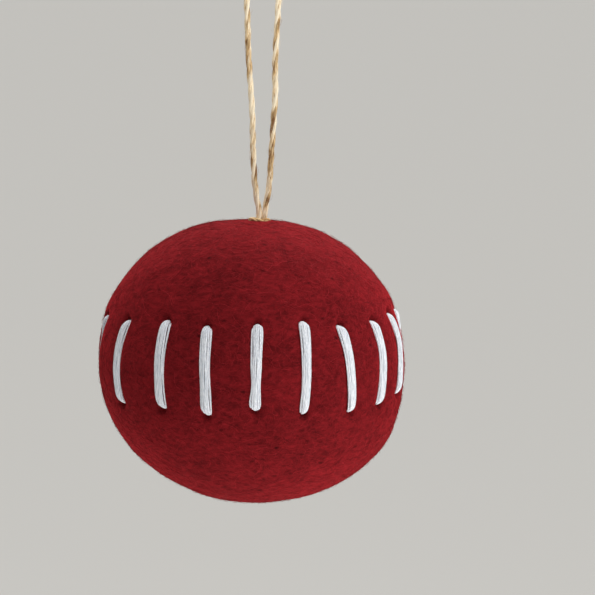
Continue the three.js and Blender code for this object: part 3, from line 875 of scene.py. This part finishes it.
# One strand of a stitch: out of the felt, down over the surface, in again and on towards the next stitch
def strandRoute(stitch, after, strand, number):
    lane = 2 * strand / (yarn["strands"] - 1) - 1
    around = math.tau * strand / yarn["strands"]
    slants = stitch["topSlant"], stitch["bottomSlant"]
    past = yarn["endReach"] - yarn["endRound"] * lane * lane
    top = stitch["top"] + past - (abs(slants[0]) - slants[0] * lane) / 2
    bottom = stitch["bottom"] - past + (abs(slants[1]) + slants[1] * lane) / 2
    high = -yarn["seat"] - yarn["crown"] * (1 - lane * lane)
    rise = [  # from the stitch's end, depth below the felt's surface, how far the strands are spread
        (0, yarn["runDepth"], 0),
        (0, yarn["pitDepth"], yarn["pitSpread"]),
        (yarn["shoulder"], yarn["shoulderDepth"], yarn["shoulderSpread"]),
        (yarn["flat"], high, 1),
    ]
    stations = [(top - inward, depth, spread) for inward, depth, spread in rise]
    stations += [(top + (bottom - top) * share, high, 1) for share in yarn["flatShares"]]
    stations += [(bottom + inward, depth, spread) for inward, depth, spread in reversed(rise)]
    points = []
    for height, depth, spread in stations:
        share = (stitch["top"] - height) / (stitch["top"] - stitch["bottom"])
        waist = stitch["waist"] * math.exp(-((share - yarn["waistPlace"]) / yarn["waistLength"]) ** 2)
        widen = stitch["topWidth"] + (stitch["bottomWidth"] - stitch["topWidth"]) * share
        reach = (yarn["width"] * widen * (1 - waist) - yarn["strandWidth"]) / 2
        sway = yarn["sway"] * math.sin(math.tau * np.dot(yarn["swayTurns"], (share, strand, number)))
        side = spread * (lane * reach + sway) + (1 - spread) * yarn["bundleRadius"] * math.cos(around)
        depth += (1 - spread) * yarn["bundleRadius"] * math.sin(around)
        depth += stitch["sink"] * float(smoothStep(*yarn["sinkShares"], share))
        turn = stitchTurn(stitch, share) + side / ballRadius(height)
        points.append(onBall(turn, height, -depth))
    nextTurn = after["topTurn"] + (360 if after["topTurn"] < stitch["topTurn"] else 0)
    for share in np.linspace(0, yarn["runEnd"], yarn["runSteps"] + 1)[1:]:
        turn = math.radians(stitch["bottomTurn"] + (nextTurn - stitch["bottomTurn"]) * share)
        height = bottom + (after["top"] - bottom) * share
        side = yarn["bundleRadius"] * math.cos(around) / ballRadius(height)
        depth = yarn["runDepth"] + yarn["bundleRadius"] * math.sin(around)
        points.append(onBall(turn + side, height, -depth))
    return smoothRoute(points, yarn["step"])


def makeStitches():
    material = cottonYarn()
    for number, stitch in enumerate(stitches):
        after = stitches[(number + 1) % len(stitches)]
        routes = [strandRoute(stitch, after, strand, number) for strand in range(yarn["strands"])]
        strands = layPlies(f"yarn_{number + 1:02d}", routes, yarn, material)
        piece = growHairs(f"yarnStitch_{number + 1:02d}", strands.data, yarn["hairs"], number, material)
        bpy.data.objects.remove(strands)
        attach(piece, "ball")
        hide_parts(f"stitch_{number + 1:02d}")


makeStitches()

# The strand that lies across the foot of the twine, half sunk in the felt
bight = {
    # Sideways, towards the back, and height above the felt under the hook
    "route": [
        (-4.2, 1.2, -1.5), (-3.9, 0.6, 0.1), (-2.8, -0.3, 0.4), (-1.3, -1.2, 0.05), (0.4, -1.4, -0.15),
        (1.5, -0.9, 0.1), (2.1, 0.1, 0), (2.3, 0.8, -1.4)],
    "step": 0.4,
    "plies": 3,
    "plyOffset": 0.32,
    "plyRadius": 0.42,
    "pitch": 9,
    "unevenness": 0.08,
    "sides": 8,
}


def makeBight():
    route = smoothRoute([(x, y, feltTop + height) for x, y, height in bight["route"]], bight["step"])
    # the strand in the felt gets a darker copy of the jute, which is painted shade
    piece = layPlies("twineBight", [route], bight, spunJute("spunJuteShadedInFelt", jute["bightShadeTones"]))
    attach(piece, "ball")
    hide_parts("loop_bight")


makeBight()

inside = {
    "creamWool": "#e4d9c0",
    "shadedWool": "#c9b994",
    "toneStops": (0.35, 0.65),  # tufts that make the shaded and the cream wool
    "tuftSize": 6,
    "tuftRelief": 0.8,
}


# Carded wool: the undyed wad under the felt, matt and cloudy, with soft tufts
def cardedWool():
    material, tree, shader = newMaterial("cardedWool", {
        "Roughness": 0.95, "Specular IOR Level": 0.08, "Sheen Weight": 0.4})
    place = addNode(tree, "ShaderNodeTexCoord").outputs["Object"]
    tufts = addNode(tree, "ShaderNodeTexNoise", {
        "Vector": place, "Scale": 1 / (inside["tuftSize"] * mm), "Detail": 5.0, "Roughness": 0.65,
        "Distortion": 0.8})
    tones = zip(inside["toneStops"], (inside["shadedWool"], inside["creamWool"]))
    ramp = addNode(tree, "ShaderNodeValToRGB", {"Fac": tufts}, tones)
    bump = addNode(tree, "ShaderNodeBump", {
        "Height": tufts.outputs[0], "Strength": 0.6, "Distance": inside["tuftRelief"] * mm})
    setInputs(tree, shader, {"Base Color": ramp, "Normal": bump})
    return material


# Inside the felt: the wool wad, and the tails and the knot that hold the twine
def dressInside():
    finishes = {"wool_core": cardedWool(), "loop_tails": juteMaterial, "anchor_knot": juteMaterial}
    for name, finish in finishes.items():
        frame["nodes"][name].material_slots[0].material = finish
    print("inside dressed:", ", ".join(finishes))


dressInside()

# Stage: a pale floor that rises far out, and soft lamps, strongest from the right and from above
studio = {
    "floorDrop": 400,  # below the ball
    "flatRadius": 900,  # the floor rises beyond this
    "floorRadius": 3000,
    "rimHeight": 1200,
    "floorRings": 12,
    "floorSides": 64,
    "floorColour": "#dddbd6",
    "floorGlow": 0.62,  # share of its own colour that shows in any light
    "worldColour": "#ffffff",
    "worldStrength": 0.28,
    # Place from the ball's middle, width and power in watts
    "lamps": {
        "rightLamp": ((950, -250, 100), 600, 5.3),
        "topLamp": ((0, -300, 900), 600, 5.6),
        "backLamp": ((100, 450, 700), 600, 4.4),
        "lowLamp": ((100, -250, -330), 400, 1.1),
        "leftLamp": ((-700, 400, 100), 600, 0.8),
    },
}


def addFloor(level):
    form = bmesh.new()
    sides = studio["floorSides"]
    flat = studio["flatRadius"]
    rings = []
    for reach in np.linspace(flat, studio["floorRadius"], studio["floorRings"]):
        height = level + studio["rimHeight"] * ((reach - flat) / (studio["floorRadius"] - flat)) ** 2
        ring = []
        for side in range(sides):
            angle = math.tau * side / sides
            corner = Vector((reach * math.cos(angle), reach * math.sin(angle), height))
            ring.append(form.verts.new(corner * mm))
        rings.append(ring)
    form.faces.new(rings[0])
    for inner, outer in zip(rings, rings[1:]):
        for side in range(sides):
            after = (side + 1) % sides
            form.faces.new((inner[side], outer[side], outer[after], inner[after]))
    for face in form.faces:
        face.smooth = True
    mesh = bpy.data.meshes.new("floor")
    form.to_mesh(mesh)
    form.free()
    material, tree, shader = newMaterial("matteFloor", {
        "Base Color": hexColour(studio["floorColour"]), "Roughness": 0.9, "Specular IOR Level": 0.1})
    glow = addNode(tree, "ShaderNodeEmission", {"Color": hexColour(studio["floorColour"])})
    rays = addNode(tree, "ShaderNodeLightPath").outputs
    seen = rays["Is Camera Ray"]
    for ray in ("Is Glossy Ray", "Is Transmission Ray"):
        seen = addNode(tree, "ShaderNodeMath", {0: seen, 1: rays[ray]}, operation="MAXIMUM")
    share = addNode(tree, "ShaderNodeMath", {0: seen, 1: studio["floorGlow"]}, operation="MULTIPLY")
    lit = addNode(tree, "ShaderNodeMixShader", {0: share, 1: shader, 2: glow})
    setInputs(tree, tree.nodes["Material Output"], {"Surface": lit})
    mesh.materials.append(material)
    addObject("floor", mesh)


def addLamp(name, place, width, power, aim):
    lamp = addObject(name, bpy.data.lights.new(name, "AREA"))
    lamp.data.shape = "DISK"
    lamp.data.size = width * mm
    lamp.data.energy = power
    lamp.visible_camera = False
    lamp.location = aim + Vector(place) * mm
    lamp.rotation_euler = (-Vector(place)).to_track_quat("-Z", "Y").to_euler()


def addStudio():
    low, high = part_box("felt_cover")
    middle = (low + high) / 2
    addFloor(low.z / mm - studio["floorDrop"])
    for name, (place, width, power) in studio["lamps"].items():
        addLamp(name, place, width, power, middle)
    world = bpy.data.worlds.new("softRoom")
    scene.world = world
    world.use_nodes = True
    setInputs(world.node_tree, world.node_tree.nodes["Background"], {
        "Color": hexColour(studio["worldColour"]), "Strength": studio["worldStrength"]})
    scene.view_settings.view_transform = "Standard"


addStudio()
print("stage set")

print("pieces done")
